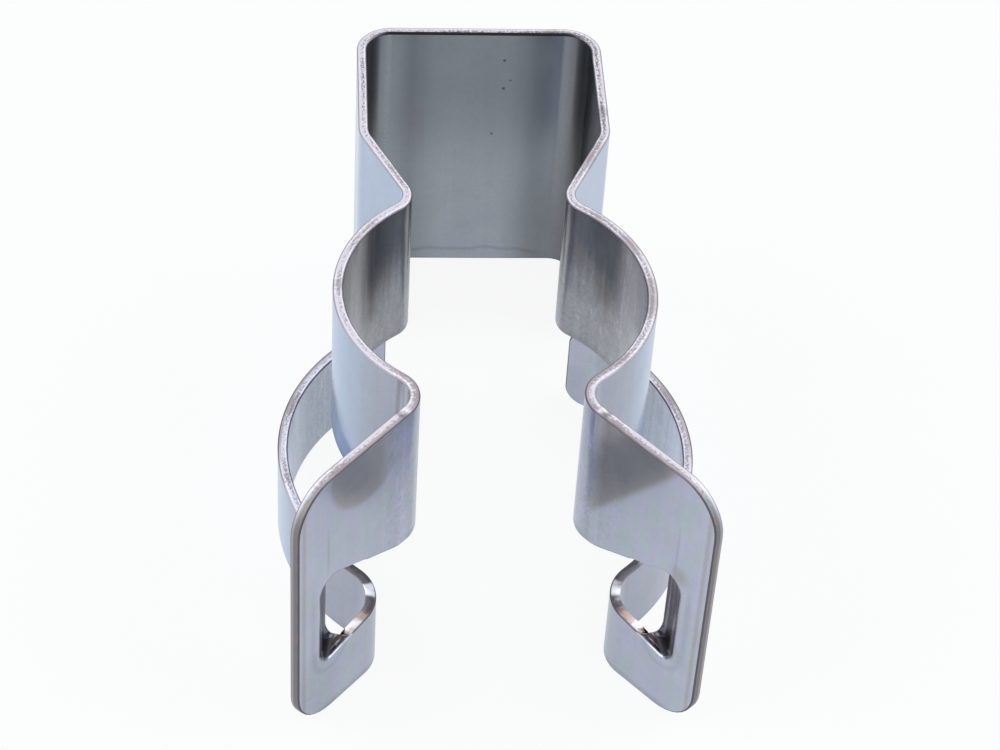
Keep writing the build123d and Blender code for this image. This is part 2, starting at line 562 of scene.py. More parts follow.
# %% Boards
class Placed:
    """A node on a board. Indexing it gives one of its outputs as a Wire."""

    def __init__(self, board, node):
        self.board = board
        self.node = node

    def __getitem__(self, key):
        return Wire(self.board, pick(self.node.outputs, key))

def pick(sockets, key):
    """A socket by its place, its identifier, or its name with underscores for spaces."""
    if isinstance(key, int):
        return sockets[key]
    by_identifier = {socket.identifier: socket for socket in sockets}
    return by_identifier.get(key) or sockets[key.replace("_", " ")]

class Board:
    """A node tree that nodes are added to."""

    def __init__(self, tree):
        self.tree = tree
        self.tree.nodes.clear()

    def add(self, kind, settings=None, **sockets):
        """Adds a node, with its settings first and then what its sockets take."""
        node = self.tree.nodes.new(kind)
        for name, value in (settings or {}).items():
            setattr(node, name, value)
        for name, value in sockets.items():
            self.fill(pick(node.inputs, name), value)
        return Placed(self, node)

    def fill(self, socket, value):
        if isinstance(value, Wire):
            self.tree.links.new(value.socket, socket)
        else:
            socket.default_value = value

    def maths(self, operation, *values):
        node = self.tree.nodes.new("ShaderNodeMath")
        node.operation = operation
        for socket, value in zip(node.inputs, values):
            self.fill(socket, value)
        return Wire(self, node.outputs[0])

# %% [markdown]
# The two plan paths become curves, which the bending rule reads. They are tools of the
# bench, so they are removed once the clip is bent.

# %% The paths as curves
def path_curve(name, path):
    curve = bpy.data.curves.new(name, "CURVE")
    curve.dimensions = "3D"
    line = curve.splines.new("POLY")
    line.points.add(len(path.points) - 1)
    for point, place in zip(line.points, path.points):
        point.co = (place.x, place.y + axis_y, 0, 1)
    return in_scene(name, curve)

band_curve = path_curve("band_path", band)
tongue_curve = path_curve("tongue_path", tongue)
print("path points", len(band.points), "and", len(tongue.points))

# %% [markdown]
# The rule that folds the blank is short, which is why Geometry Nodes suit it. A point
# of the blank has a length along the strip, a height, and a small offset through the
# sheet. Its length picks a place and a direction on a plan path, the tongue's path for
# what is below the slot and before the curl, and the band's path for the rest. The
# offset goes square to that direction, and the height stays. The left half has
# negative lengths, and is the mirror image. The flat place is kept as an attribute,
# so that the finish can follow the strip round its bends.

# %% The folding rule
FOLDING_INPUTS = {
    "NodeSocketGeometry": ["Geometry"],
    "NodeSocketObject": ["Band Path", "Tongue Path"],
    "NodeSocketFloat": ["Step At", "Curl At", "Tongue At", "Slot Height"],
    "NodeSocketMaterial": ["Rolled Face", "Sheared Edge"],
}

def folding_tree():
    tree = bpy.data.node_groups.new("fold_strip", "GeometryNodeTree")
    for kind, names in FOLDING_INPUTS.items():
        for name in names:
            tree.interface.new_socket(name, in_out="INPUT", socket_type=kind)
    tree.interface.new_socket("Geometry", in_out="OUTPUT", socket_type="NodeSocketGeometry")
    board = Board(tree)
    given = board.add("NodeGroupInput")
    flat = board.add("GeometryNodeInputPosition")[0]
    place = board.add("ShaderNodeSeparateXYZ", Vector=flat)
    length = abs(place["X"])
    side = board.maths("SIGN", place["X"])

    def sampled(path, start):
        line = board.add("GeometryNodeObjectInfo", Object=given[path])["Geometry"]
        by_length = {"mode": "LENGTH"}
        return board.add("GeometryNodeSampleCurve", by_length, Curves=line, Length=length - start)

    on_band = sampled("Band Path", 0.0)
    on_tongue = sampled("Tongue Path", given["Tongue At"])
    between_leaves = (length > given["Step At"]) * (length < given["Curl At"])
    is_tongue = between_leaves * (place["Z"] < given["Slot Height"])

    def chosen(output):
        pair = {"False": on_band[output], "True": on_tongue[output]}
        switch = board.add("GeometryNodeSwitch", {"input_type": "VECTOR"}, Switch=is_tongue, **pair)
        return board.add("ShaderNodeSeparateXYZ", Vector=switch[0])

    plan = chosen("Position")
    heading = chosen("Tangent")
    folded = board.add(
        "ShaderNodeCombineXYZ",
        X=side * (plan["X"] - heading["Y"] * place["Y"]),
        Y=plan["Y"] + heading["X"] * place["Y"],
        Z=place["Z"],
    )
    kept = board.add(
        "GeometryNodeStoreNamedAttribute",
        {"data_type": "FLOAT_VECTOR"},
        Geometry=given["Geometry"],
        Name="blank",
        Value=flat,
    )
    bent = board.add("GeometryNodeSetPosition", Geometry=kept[0], Position=folded[0])
    whole = board.add("GeometryNodeRealizeInstances", Geometry=bent[0])
    slot_number = board.add("GeometryNodeInputMaterialIndex")[0]
    surfaces = {"Rolled Face": slot_number < 0.5, "Sheared Edge": slot_number > 0.5}
    finished = whole
    for finish, surface in surfaces.items():
        where = {"Selection": surface, "Material": given[finish]}
        finished = board.add("GeometryNodeSetMaterial", Geometry=finished[0], **where)
    board.add("NodeGroupOutput", Geometry=finished[0])
    return tree

fold_strip = folding_tree()
print("folding tree", len(fold_strip.nodes), "nodes")

# %% [markdown]
# Most of a finish is soft shapes that are added up: a noise with its own scale in each
# direction, steps, humps, stretches and round spots, and a blend of two colours by a
# share. Each helper adds the nodes for one of them.

# %% Soft shapes and blends
def noise(place, waves, detail=2.0):
    """A noise around 0, with this many waves a millimetre along, through and up."""
    board = place.board
    kind = {"operation": "MULTIPLY"}
    spread = board.add("ShaderNodeVectorMath", kind, Vector=place, Vector_001=waves)
    return board.add("ShaderNodeTexNoise", Vector=spread[0], Scale=1.0, Detail=detail)[0] - 0.5

def step(value, low, high):
    """Goes smoothly from 0 at low to 1 at high, whichever of them is larger."""
    kind = {"interpolation_type": "SMOOTHSTEP"}
    ramp = value.board.add("ShaderNodeMapRange", kind, Value=value, From_Min=low, From_Max=high)
    return ramp["Result"]

def hump(value, middle, reach):
    """1 at the middle, and softly down to 0 at this reach from it."""
    return step(abs(value - middle), reach, 0.0)

def stretch(value, start, end, soft):
    """1 between start and end, and softly down to 0 outside."""
    return step(value, start - soft, start + soft) * step(value, end + soft, end - soft)

def round_spot(place, middle, radius, soft):
    """1 inside a ball of this radius about a point, and softly down to 0 outside."""
    kind = {"operation": "DISTANCE"}
    away = place.board.add("ShaderNodeVectorMath", kind, Vector=place, Vector_001=middle)["Value"]
    return step(away, radius + soft, radius - soft)

def tinted(share, colour, other):
    """A blend from one colour to the other by a share."""
    kind = {"data_type": "RGBA"}
    mix = share.board.add("ShaderNodeMix", kind, Factor_Float=share, A_Color=colour, B_Color=other)
    return mix["Result_Color"]

# %% [markdown]
# A finish follows the strip, not the room: rolling marks run along it, and the marks of
# the folding tools lie across it, at the bends. So the finishes read the flat place that
# the folding rule kept, in millimetres. Both steel finishes end in the same bare metal.

# %% The strip as a finish sees it
class Strip:
    """Where a shaded point lies on the flat blank, in millimetres.

    The shares right and inside are 1 on the right half and on the inner face.
    """

    def __init__(self, board):
        self.board = board
        place = board.add("ShaderNodeAttribute", {"attribute_name": "blank"})["Vector"]
        kind = {"operation": "SCALE"}
        self.place = board.add("ShaderNodeVectorMath", kind, Vector=place, Scale=1 / MM)[0]
        axis = board.add("ShaderNodeSeparateXYZ", Vector=self.place)
        self.along, self.depth, self.height = axis["X"], axis["Y"], axis["Z"]
        self.length = abs(self.along)
        self.right = step(self.along, -1.0, 1.0)
        self.inside = step(self.depth, 0.2, -0.2)

def new_finish(name):
    """A new material, and the board that its nodes go on."""
    finish = bpy.data.materials.new(name)
    finish.use_nodes = True
    return finish, Board(finish.node_tree)

def bare_metal(board, colour, roughness, waves, relief):
    """Ends a finish in metal of this colour and roughness, with waves of some height."""
    bump = board.add("ShaderNodeBump", Strength=1.0, Distance=relief, Height=waves)
    metal = board.add(
        "ShaderNodeBsdfPrincipled",
        Base_Color=colour,
        Metallic=1.0,
        Roughness=roughness,
        Normal=bump["Normal"],
    )
    board.add("ShaderNodeOutputMaterial", Surface=metal["BSDF"])

# %% [markdown]
# The marks are placed against the bend lines of the plan path and the outline of the
# window, so those come first, in millimetres. FRONT is the depth of the inner face.

# %% Lines of the blank
corner_line, wall_line, shoulder_line = at_corner / MM, at_wall / MM, at_shoulder / MM
throat_line, jaw_line, mouth_line = at_throat / MM, at_jaw / MM, at_mouth / MM
plate_line, curl_line, tip_line = at_plate / MM, at_curl / MM, at_tip / MM
window_line, top_line = (at_plate + window_end) / MM, STRIP_HEIGHT / MM
band_line, floor_line, roof_line = BAND_BOTTOM / MM, WINDOW_FLOOR / MM, window_roof / MM
slot_height = (BAND_BOTTOM + TONGUE_HEIGHT) / 2
tongue_line = slot_height / MM
floor_slope = math.tan(math.radians(WINDOW_FLOOR_ANGLE))
FRONT = -HALF_SHEET / MM
print("jaws from", round(jaw_line, 1), "to", round(mouth_line, 1), "mm along the strip")

# %% [markdown]
# The inner face is painted darker where it would mirror shade: in the channel, in the
# two jaws above all towards their top, and in the upper corner of each end plate beside
# the mouth, where the other arm is mirrored.

# %% Painted shade inside the clip
def painted_shade(strip, tool_marks):
    """How much painted shade darkens the inner face in the channel, the jaws and the plates."""
    length, height, right = strip.length, strip.height, strip.right
    raised = step(height, 1.0, 20.0)
    channel = step(length, corner_line + 0.5, corner_line - 2.0) * (0.13 + raised * 0.40)
    corner = stretch(length, corner_line + 1.2, shoulder_line, 1.4) * (0.48 + right * 0.14)

    upper = step(height + tool_marks * 12.0, 14.0, 22.0)
    jaw = stretch(length, throat_line + 1.0, jaw_line + 8.8, 1.6) * (0.26 + upper * 0.36)
    # painted shade: a dark streak in the left jaw; painted reflection: a lighter streak in both
    # jaws
    left_streak = hump(length, jaw_line + 3.2, 2.4) * step(height, 13.0, 16.5) * (1 - right)
    painted_light_streak = hump(length, jaw_line + 7.2, 3.0)
    jaw = jaw + left_streak * 0.28 - painted_light_streak * 0.13

    # painted dark reflections of the other arm on each end plate's upper corner
    spot_centre = (-plate_line - 4.6, FRONT, top_line - 1.0)
    left_spot = round_spot(strip.place, spot_centre, 4.3, 0.4)
    left_plate = left_spot * step(length, plate_line + 1.0, plate_line + 4.0)
    over_slant = height - 16.7 - (length - plate_line - 2.3) * 1.25
    across = step(length, plate_line - 0.5, plate_line + 1.5)
    across = across * step(length, tip_line - 3.0, tip_line - 5.4)
    right_plate = step(over_slant, 0.0, 1.3) * across * right
    return (channel + corner + jaw + left_plate * 0.23 + right_plate * 0.33) * strip.inside

# %% [markdown]
# There are smaller marks too: darker lines beside each window and over its roof corner,
# a wavy line near the foot of the back wall, a ring round each window's lower corner,
# and a few specks, smudges and scuffs in the places where the real clip has them. The
# lower edges of the band and of the end plates get a line of painted shade. A spot has
# its place along and up the strip, and its radius.

# %% Small marks
SPECKS = [
    (2.33, 22.26, 0.13),
    (2.39, 19.28, 0.14),
    (2.94, 20.14, 0.09),
    (1.6, 14.36, 0.10),
    (-33.8, 14.4, 0.06),
]
SMUDGES = [(67.1, 15.2, 0.7), (35.3, 18.1, 1.0)]
SPECK_SOFTNESS = 0.06

def lines_and_rim_shade(strip):
    """Darker lines along and across the strip, and painted shade along the lower edges."""
    length, height = strip.length, strip.height
    waver = noise(strip.place, (0.25, 0.0, 0.0), 1.0)
    foot = hump(height + waver * 2.4, 1.2, 0.35) * strip.inside
    foot = foot * step(length, corner_line, corner_line - 2.0)
    fold = hump(length, window_line - 0.9, 0.22)
    fold = fold * stretch(height, roof_line, roof_line + 4.0, 1.5)
    roll = hump(length, window_line + 0.75, 0.5)
    roll = roll * stretch(height, floor_line + 1.0, roof_line - 1.0, 1.0)
    # low and band are painted shade along the lower edges of the curls, the end plates and the band
    low = step(height, 0.9, 0.3) * step(length, curl_line - 9.0, curl_line - 3.0)
    band = hump(height, band_line + 0.4, 0.5) * stretch(length, jaw_line, plate_line, 1.0)
    on_either_side = strip.board.add("ShaderNodeCombineXYZ", X=length, Y=FRONT, Z=height)[0]
    centre = (window_line - 1.3, FRONT, floor_line + 1.0)
    ring = round_spot(on_either_side, centre, 2.0, 0.25)
    ring = ring - round_spot(on_either_side, centre, 1.55, 0.25)
    return foot * 0.14 + fold * 0.12 + roll * 0.09 + (low + band) * 0.13 + ring * 0.09

def speck_share(strip):
    spots = [((x, FRONT, z), radius) for x, z, radius in SPECKS]
    return sum(round_spot(strip.place, spot, radius, SPECK_SOFTNESS) for spot, radius in spots)

def smudge_share(strip):
    spots = [((x, FRONT, z), radius) for x, z, radius in SMUDGES]
    return sum(round_spot(strip.place, spot, radius, radius) for spot, radius in spots)

# %% [markdown]
# Inside the window the drawn lip is painted dark as shade, with a few painted bright
# glints along the draw. A point of the lip has gone back and inward, so undoing that
# tells whether it started at the window's edge.

# %% The lip's mask and streaks
def drawn_lip(strip):
    """The share of lip at a point, and the share of painted bright glints on it."""
    undrawn = strip.length + (strip.depth - FRONT) * (LIP_LEAN / LIP_DEPTH)
    over_floor = strip.height - floor_line - (window_line - undrawn) * floor_slope
    across = stretch(undrawn, curl_line - 1.5, window_line + 0.2, 0.1)
    upwards = step(over_floor, -0.3, -0.15) * step(strip.height, roof_line + 0.2, roof_line - 0.2)
    past_roll = step(strip.depth, FRONT + 0.05, FRONT + 0.25)
    drawn = strip.board.add("ShaderNodeCombineXYZ", X=undrawn, Y=strip.depth, Z=strip.height)[0]
    return across * upwards * past_roll, step(noise(drawn, (1.3, 3.0, 0.1), 3.0), 0.0, 0.16)

# %% [markdown]
# The rolled faces put all of that together. First come the grain, the wear and the
# painted shade that several of their values read. The jaws and the mouth were worked
# hardest, so they show the most: streaks across the strip and fine scratches from the
# tools.

# %% Grain and wear
class WornShadedStrip(Strip):
    """The rolled face of the strip, with its grain, its wear and its painted shade and light."""

    def __init__(self, board):
        super().__init__(board)
        place, length, height, inside = self.place, self.length, self.height, self.inside
        self.mottle = noise(place, (0.35, 0.35, 0.35), 4.0)
        self.grain = noise(place, (0.5, 1.0, 14.0), 2.0)
        self.speckle = noise(place, (4.0, 4.0, 4.0), 2.0)
        self.clouds = noise(place, (0.8, 0.8, 0.5), 2.0)
        self.tool_marks = noise(place, (1.5, 0.5, 0.05), 3.0)

        jaws = stretch(length, throat_line, jaw_line + 10.0, 1.5)
        mouth = stretch(length, mouth_line, plate_line + 3.0, 1.5)
        self.worked = (jaws + mouth * 0.6) * inside
        self.shade_share = painted_shade(self, self.tool_marks)
        # painted shade on the inner face beside the back wall's corners
        corner_shade = step(length, 2.5, corner_line - 0.5) * step(length, wall_line, corner_line)
        self.corner_shade = corner_shade * inside
        # the tongue's inner face is painted lighter and half as blue as the outer face, as a
        # painted reflection
        tongue_part = stretch(length, jaw_line - 0.8, mouth_line - 3.6, 2.0)
        self.tongue_part = tongue_part * step(height, tongue_line, tongue_line - 1.0)

        self.tip_rub = hump(length, tip_line - 0.62, 0.35)
        self.smudges = smudge_share(self)
        scuffs = stretch(length, mouth_line, mouth_line + 1.0, 0.8) * step(height, 17.5, 20.0)
        self.scuffs = scuffs * step(self.tool_marks, 0.03, 0.14) * (1 - inside)

# %% [markdown]
# The tone says how light the steel is. It starts from the even skin, takes on the grain
# and the tool marks, and loses light at every rubbed or scuffed place and under the
# painted shade. The tongue's inner face gets painted light, and the left plate's foot painted
# shade.

# %% Tone of the steel
EVEN_TONE = 0.78

def steel_tone(worn_and_shaded):
    """How light the steel is, from 0 for dark to 1 for full."""
    worked, inside = worn_and_shaded.worked, worn_and_shaded.inside
    thin_lines = step(abs(noise(worn_and_shaded.place, (1.1, 1.0, 0.7), 3.0)), 0.018, 0.0)
    scratches = thin_lines * step(worn_and_shaded.clouds, 0.02, 0.10) * worked
    left_foot_shade = step(worn_and_shaded.length, plate_line + 5.5, plate_line + 10.5) * (1 - worn_and_shaded.right)
    left_foot_shade = left_foot_shade * step(worn_and_shaded.height, 10.0, 4.0) * inside

    tone = EVEN_TONE + worn_and_shaded.mottle * 0.13 + worn_and_shaded.grain * 0.06
    tone = tone + worn_and_shaded.speckle * (0.10 + worked * 0.30) + worn_and_shaded.clouds * worked * 0.18
    tone = tone + worn_and_shaded.tool_marks * (0.07 + worked * 0.32) + scratches * 0.24
    # painted light on the tongue's inner face, painted shade at the left plate's foot
    tone = tone + worn_and_shaded.tongue_part * inside * 0.14 - left_foot_shade * 0.12 - lines_and_rim_shade(worn_and_shaded)
    tone = tone - worn_and_shaded.tip_rub * 0.10 - worn_and_shaded.smudges * 0.14 - worn_and_shaded.scuffs * 0.45
    tone = tone * (1 - worn_and_shaded.shade_share) * (1 - worn_and_shaded.corner_shade * (0.38 + worn_and_shaded.right * 0.08))
    return tone * (1 - speck_share(worn_and_shaded) * 0.75)

# %% [markdown]
# Over the tone lies a colour cast. The inner face drifts between green and lilac greys
# and is painted plain grey under the painted shade. The outer face is painted bluest, as a
# painted reflection of the bluish side light, and so is half of the tongue's inner face.
# The painted shade in the jaws and the upper plates is a little warm, and so are a few
# stains and every rubbed place.

# %% Colour cast of the steel
GREEN_STEEL = (0.61, 0.685, 0.765, 1)
LILAC_STEEL = (0.64, 0.66, 0.835, 1)
SHADE_STEEL = (0.63, 0.64, 0.68, 1)
BACK_SHADE_STEEL = (0.58, 0.64, 0.70, 1)
OUTER_REFLECTED_STEEL = (0.595, 0.695, 0.88, 1)
BLUE_REFLECTED_STEEL = (0.59, 0.725, 0.95, 1)
BLUNT_REFLECTED_STEEL = (0.53, 0.56, 0.66, 1)
WARM_STEEL = (0.62, 0.57, 0.54, 1)

def steel_cast(worn_and_shaded):
    """The colour of the steel at its full tone."""
    length, shade_share = worn_and_shaded.length, worn_and_shaded.shade_share
    cast = tinted(step(worn_and_shaded.clouds, -0.12, 0.12), GREEN_STEEL, LILAC_STEEL)
    # grey casts for the painted shade in the channel, the corners and the jaws
    shade_cast = tinted(step(length, corner_line - 1.1, corner_line + 2.9), BACK_SHADE_STEEL, SHADE_STEEL)
    cast = tinted(step(shade_share + worn_and_shaded.corner_shade, 0.0, 0.25), cast, shade_cast)
    # painted reflection: the outer face is bluer where it mirrors the bluish side light
    outer_reflection_cast = tinted(step(length, throat_line - 4.2, jaw_line + 2.2), OUTER_REFLECTED_STEEL, BLUE_REFLECTED_STEEL)
    outer_reflection_cast = tinted(step(length, mouth_line - 7.1, mouth_line - 1.6), outer_reflection_cast, BLUNT_REFLECTED_STEEL)
    cast = tinted(1 - worn_and_shaded.inside * (1 - worn_and_shaded.tongue_part * 0.5), cast, outer_reflection_cast)

    # the painted shade in the jaws and plates is tinted warm; the noise adds warm stains
    warm_jaw_shade = step(shade_share, 0.45, 0.65) * step(length, shoulder_line - 1.2, throat_line - 1.2)
    warm_plate_shade = step(shade_share, 0.05, 0.3) * step(length, mouth_line + 0.4, plate_line + 0.5)
    warm_stain = step(noise(worn_and_shaded.place, (0.3, 0.3, 0.25), 2.0), 0.06, 0.2)
    stain_and_shade_warmth = warm_jaw_shade * 0.6 + warm_plate_shade * 0.4 + warm_stain * 0.12
    rubbed = worn_and_shaded.tip_rub + worn_and_shaded.smudges + worn_and_shaded.scuffs
    return tinted(stain_and_shade_warmth + rubbed * 0.5, cast, WARM_STEEL)

# %% [markdown]
# Tone and cast make the colour, and the drawn lip goes on top. The skin is satin, a
# little rougher on the lip and in the channel's corners, and long shallow waves from
# the rolls keep its reflections from being perfect.

# %% Rolled faces
DARK_STEEL = (0.035, 0.037, 0.042, 1)
LIP_SHADOW = (0.05, 0.042, 0.045, 1)
LIP_GLINT = (0.42, 0.40, 0.42, 1)
SATIN = 0.18
ROLLED_RELIEF = 0.05 * MM

def rolled_steel():
    finish, board = new_finish("rolled_steel")
    worn_and_shaded = WornShadedStrip(board)
    lip, glints = drawn_lip(worn_and_shaded)
    lip_colour = tinted(glints, LIP_SHADOW, LIP_GLINT)
    steel_colour = tinted(steel_tone(worn_and_shaded), DARK_STEEL, steel_cast(worn_and_shaded))
    colour = tinted(lip * 0.95, steel_colour, lip_colour)

    corner_bend = stretch(worn_and_shaded.length, corner_line, wall_line, 1.0) * worn_and_shaded.inside
    roughness = SATIN + worn_and_shaded.mottle * 0.10 + worn_and_shaded.grain * 0.05 + worn_and_shaded.worked * 0.03
    roughness = roughness + lip * 0.15 + corner_bend * 0.12
    waves = noise(worn_and_shaded.place, (0.16, 0.16, 0.05), 1.0) + worn_and_shaded.tool_marks * 0.3 * worn_and_shaded.worked
    bare_metal(board, colour, roughness, waves, ROLLED_RELIEF)
    return finish

rolled_face = rolled_steel()
print("rolled steel", len(rolled_face.node_tree.nodes), "nodes")

# %% [markdown]
# The sheared edge is read through the sheet. From the inner face outwards it has a dark
# border of painted shade, a bright line, a broken streak where the punch tore the metal,
# a satin part and a dark border of painted shade again.

# %% The cut through the sheet
BRIGHT_EDGE = (0.70, 0.68, 0.77, 1)
PALE_EDGE = (0.92, 0.91, 0.96, 1)
GREY_EDGE = (0.30, 0.26, 0.32, 1)
DARK_EDGE = (0.12, 0.10, 0.125, 1)
BROWN_EDGE = (0.28, 0.225, 0.21, 1)

class CutEdge(Strip):
    """The sheared edge of the strip, with its flakes and its torn streak."""

    def __init__(self, board):
        super().__init__(board)
        self.flakes = noise(self.place, (4.0, 6.0, 4.0), 4.0)
        self.drift = noise(self.place, (0.22, 0.0, 0.22), 2.0)
        self.wander = noise(self.place, (0.6, 0.0, 0.6), 3.0)
        self.wavy = self.depth + self.wander * 0.12
        patches = step(self.flakes + self.drift * 0.6, -0.12, 0.10)
        self.torn = stretch(self.wavy, -0.20, 0.10, 0.12) * patches * 0.8

def cut_colour(edge):
    """Bright and brown steel with the torn streak, which is darkest on the walls."""
    length, wavy, drift = edge.length, edge.wavy, edge.drift
    bright_line = hump(wavy, -0.22, 0.07) * step(length, corner_line, wall_line)
    bright_line = bright_line + hump(wavy, 0.2, 0.14) * step(drift, -0.06, 0.10)
    brown_third = step(edge.depth, -0.02, -0.18) * step(length, mouth_line - 4.0, mouth_line)
    walls = step(length, shoulder_line + 3.8, shoulder_line - 1.2)

    colour = tinted(bright_line, BRIGHT_EDGE, PALE_EDGE)
    colour = tinted(step(drift + edge.flakes * 0.5, 0.0, 0.2) * 0.5, colour, BROWN_EDGE)
    colour = tinted(brown_third * 0.7, colour, BROWN_EDGE)
    return tinted(edge.torn, colour, tinted(walls, GREY_EDGE, DARK_EDGE))

# %% [markdown]
# Some stretches of the edge have their own look. Where two cuts of the press meet, at
# the root of each end plate, the top edge has a pale and a dark mark. The end plates'
# upright ends are brown and teal, and the window's floor shows copper, with painted shade
# in black and two painted pale highlights. The inner border is painted nearly black
# along the back wall, as shade on its rounded shoulder.

# %% Stretches with their own look
BLACK_EDGE = (0.02, 0.02, 0.025, 1)
TEAL_EDGE = (0.20, 0.225, 0.245, 1)
COPPER_EDGE = (0.46, 0.335, 0.30, 1)
FLOOR_GLINTS = ((-3.0, -1.8), (0.7, 1.5))

def with_cut_marks(edge, colour):
    on_top = step(edge.height, top_line - 1.0, top_line - 0.5)
    pale_mark = hump(edge.length, plate_line + 0.1, 0.35) * on_top
    dark_mark = hump(edge.length, plate_line + 0.75, 0.4) * on_top
    colour = tinted(pale_mark * 0.6, colour, PALE_EDGE)
    return tinted(dark_mark * 0.55, colour, DARK_EDGE)

def with_upright_end(edge, colour, share):
    end_colour = tinted(step(edge.flakes + edge.wander * 0.4, -0.10, 0.10), TEAL_EDGE, BROWN_EDGE)
    end_colour = tinted(step(edge.depth, 0.0, 0.25) * 0.4, end_colour, BRIGHT_EDGE)
    return tinted(share, colour, end_colour)

def with_window_floor(edge, colour, share):
    patches = edge.length + noise(edge.place, (0.9, 0.5, 0.9), 3.0) * 2.5
    copper = stretch(patches, curl_line - 0.5, tip_line, 0.4)
    floor_colour = tinted(copper, LIP_SHADOW, COPPER_EDGE)
    # the pale glints are painted highlights on the window's floor
    for first, last in FLOOR_GLINTS:
        glint = stretch(patches, curl_line + first, curl_line + last, 0.4)
        floor_colour = tinted(glint, floor_colour, PALE_EDGE)
    return tinted(share * 0.85, colour, floor_colour)

# The dark borders are painted shade on the rounded shoulders of the edge.
def with_shaded_borders(edge, colour, by_window):
    far_tongue = step(edge.height, tongue_line - 0.75, tongue_line - 1.25)
    far_tongue = far_tongue * step(edge.length, mouth_line - 6.6, mouth_line - 11.6)
    outer_border_shade = step(edge.depth, 0.27, 0.34) * 1.3 + far_tongue * step(edge.depth, 0.08, 0.18)
    back_border_shade = step(edge.length, wall_line, corner_line) * step(edge.wavy, -0.10, -0.18)
    colour = tinted(step(edge.wavy, -0.26, -0.34) * 0.9, colour, DARK_EDGE)
    colour = tinted(back_border_shade, colour, BLACK_EDGE)
    return tinted(outer_border_shade * 0.5 * (1 - by_window), colour, DARK_EDGE)

# %% [markdown]
# The finish lays those looks over the plain cut, one after the other. The torn streak
# and the upright ends are rougher than the rest, and the flakes stand out a little.

# %% Sheared edges
CUT_ROUGHNESS = 0.36
SHEARED_RELIEF = 0.015 * MM

def sheared_steel():
    finish, board = new_finish("sheared_steel")
    edge = CutEdge(board)
    at_end = step(edge.length, tip_line - 3.4, tip_line - 1.2) * step(edge.depth, 0.5, 0.4)
    by_window = step(edge.height, tongue_line - 0.15, tongue_line - 1.15)
    by_window = by_window * stretch(edge.length, curl_line - 6.0, tip_line - 1.5, 0.5)

    colour = with_cut_marks(edge, cut_colour(edge))
    colour = with_upright_end(edge, colour, at_end)
    colour = with_window_floor(edge, colour, by_window)
    colour = with_shaded_borders(edge, colour, by_window)
    roughness = CUT_ROUGHNESS + edge.torn * 0.2 + at_end * 0.12
    bare_metal(board, colour, roughness, edge.flakes, SHEARED_RELIEF)
    return finish

sheared_edge = sheared_steel()
print("sheared steel", len(sheared_edge.node_tree.nodes), "nodes")

# %% [markdown]
# The folding rule bends the blank, and weighted normals keep the flat stretches looking
# flat beside the rounded edges. The result is turned into a plain mesh, because the
# fixed frame only takes finished pieces.

# %% Fold the blank
blank_mesh.materials.append(rolled_face)
blank_mesh.materials.append(sheared_edge)

fold = flat_blank.modifiers.new("fold", "NODES")
fold.node_group = fold_strip
folding_values = {
    "Band Path": band_curve,
    "Tongue Path": tongue_curve,
    "Step At": at_step,
    "Curl At": at_curl,
    "Tongue At": at_tongue,
    "Slot Height": slot_height,
    "Rolled Face": rolled_face,
    "Sheared Edge": sheared_edge,
}
for socket in fold_strip.interface.items_tree:
    if socket.in_out == "INPUT" and socket.name in folding_values:
        fold[socket.identifier] = folding_values[socket.name]

evened = flat_blank.modifiers.new("even_shading", "WEIGHTED_NORMAL")
evened.keep_sharp = True

bpy.context.view_layer.update()
evaluated = flat_blank.evaluated_get(bpy.context.evaluated_depsgraph_get())
clip_mesh = bpy.data.meshes.new_from_object(evaluated)
clip_mesh.name = "folded_clip"
clip = in_scene("folded_clip", clip_mesh)
for bench_tool in (flat_blank, band_curve, tongue_curve):
    bpy.data.objects.remove(bench_tool)
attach(clip, "root")
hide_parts("spring_clip")
print("folded clip", len(clip_mesh.polygons), "faces", [m.name for m in clip_mesh.materials])

# %% [markdown]
# The folded clip should lie on the solid that it stands for. Each of its points is
# dropped on to the solid's surface, and the largest distance shows how well the rule
# and the solid agree.

# %% Compare the clip with the solid
solid_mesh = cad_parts["spring_clip"].data
solid_points = [vertex.co for vertex in solid_mesh.vertices]
solid_tree = BVHTree.FromPolygons(solid_points, [face.vertices for face in solid_mesh.polygons])
gaps = sorted((solid_tree.find_nearest(v.co)[3] / MM, v.index) for v in clip_mesh.vertices)
widest, number = gaps[-1]
place = [round(value / MM, 1) for value in clip_mesh.vertices[number].co]
print("gap to the solid: most", round(widest, 3), "mm at", place)
print("nine in ten within", round(gaps[len(gaps) * 9 // 10][0], 3), "mm")

# %% [markdown]
# The camera looks down on the clip from in front, turned and rolled a little. Its lens
# and place come from the picture's own perspective: a point over the grip, level with
# the strip's top edge, sits at a known pixel and at a known distance.

# %% Camera
PICTURE = (1000, 750)
SENSOR = 36.0
FOCAL_PIXELS = 2948.6
ELEVATION = 44.0
YAW = 5.385
ROLL = 3.815
AIM_POINT = Vector((0, 1.919 * MM, STRIP_HEIGHT))
AIM_PIXEL = (491.67, 230.0)
AIM_DISTANCE = 227.4 * MM

tilt = Matrix.Rotation(math.radians(90 - ELEVATION), 3, "X")
turn = Matrix.Rotation(math.radians(YAW), 3, "Z")
lean = Matrix.Rotation(math.radians(ROLL), 3, "Z")
to_world = turn.inverted() @ tilt @ lean
to_the_right = (AIM_PIXEL[0] - PICTURE[0] / 2) / FOCAL_PIXELS
upwards = (PICTURE[1] / 2 - AIM_PIXEL[1]) / FOCAL_PIXELS
aim_in_view = Vector((to_the_right, upwards, -1.0)) * AIM_DISTANCE

